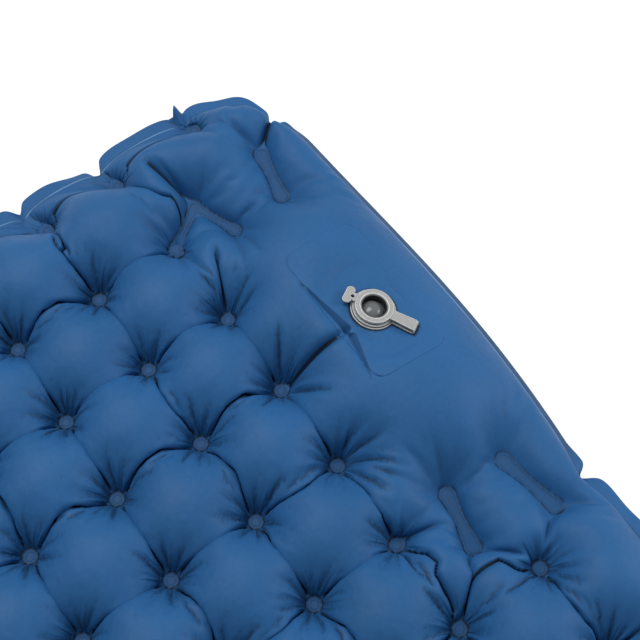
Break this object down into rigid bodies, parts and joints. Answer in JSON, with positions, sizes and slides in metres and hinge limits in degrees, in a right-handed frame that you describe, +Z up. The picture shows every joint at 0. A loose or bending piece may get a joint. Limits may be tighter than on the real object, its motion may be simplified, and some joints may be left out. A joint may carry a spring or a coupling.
{
  "type": "air mattress",
  "caption": "Inflatable camping mattress: two sheets welded together in a square quilt of dots, with a flanged edge and a flip-cap air valve on a patch near one corner.",
  "frame": {"origin": "on the ground, below the middle of the mattress", "axes": "+Z up; +Y along the length, to the head end, which the valve is near; +X to the side where the valve is"},
  "size_m": [0.592, 1.848, 0.0755],
  "materials": {
    "pad_fabric": "satin",
    "patch_fabric": "satin",
    "valve_plastic": "matte",
    "seat_plastic": "satin",
    "flap_rubber": "satin",
    "seal_rubber": "satin"
  },
  "bodies": {
    "pad": {"top_sheet": "pad_fabric", "bottom_sheet": "pad_fabric", "valve_patch": "patch_fabric", "valve_base": "valve_plastic", "valve_seat": "seat_plastic"},
    "cap": {"valve_cap": "valve_plastic", "cap_seal": "seal_rubber"},
    "flap": {"check_flap": "flap_rubber"}
  },
  "joints": [
    {"name": "cap_hinge", "type": "hinge", "parent": "pad", "child": "cap", "pos_m": [0.23081, 0.60823, 0.06392], "axis": [0.8471, 0.5, -0.1801], "range_deg": [0, 150]},
    {"name": "flap_slide", "type": "slide", "parent": "pad", "child": "flap", "axis": [-0.2079, 0, -0.9781], "range_m": [0, 0.002], "stiffness_N_per_m": 40}
  ]
}
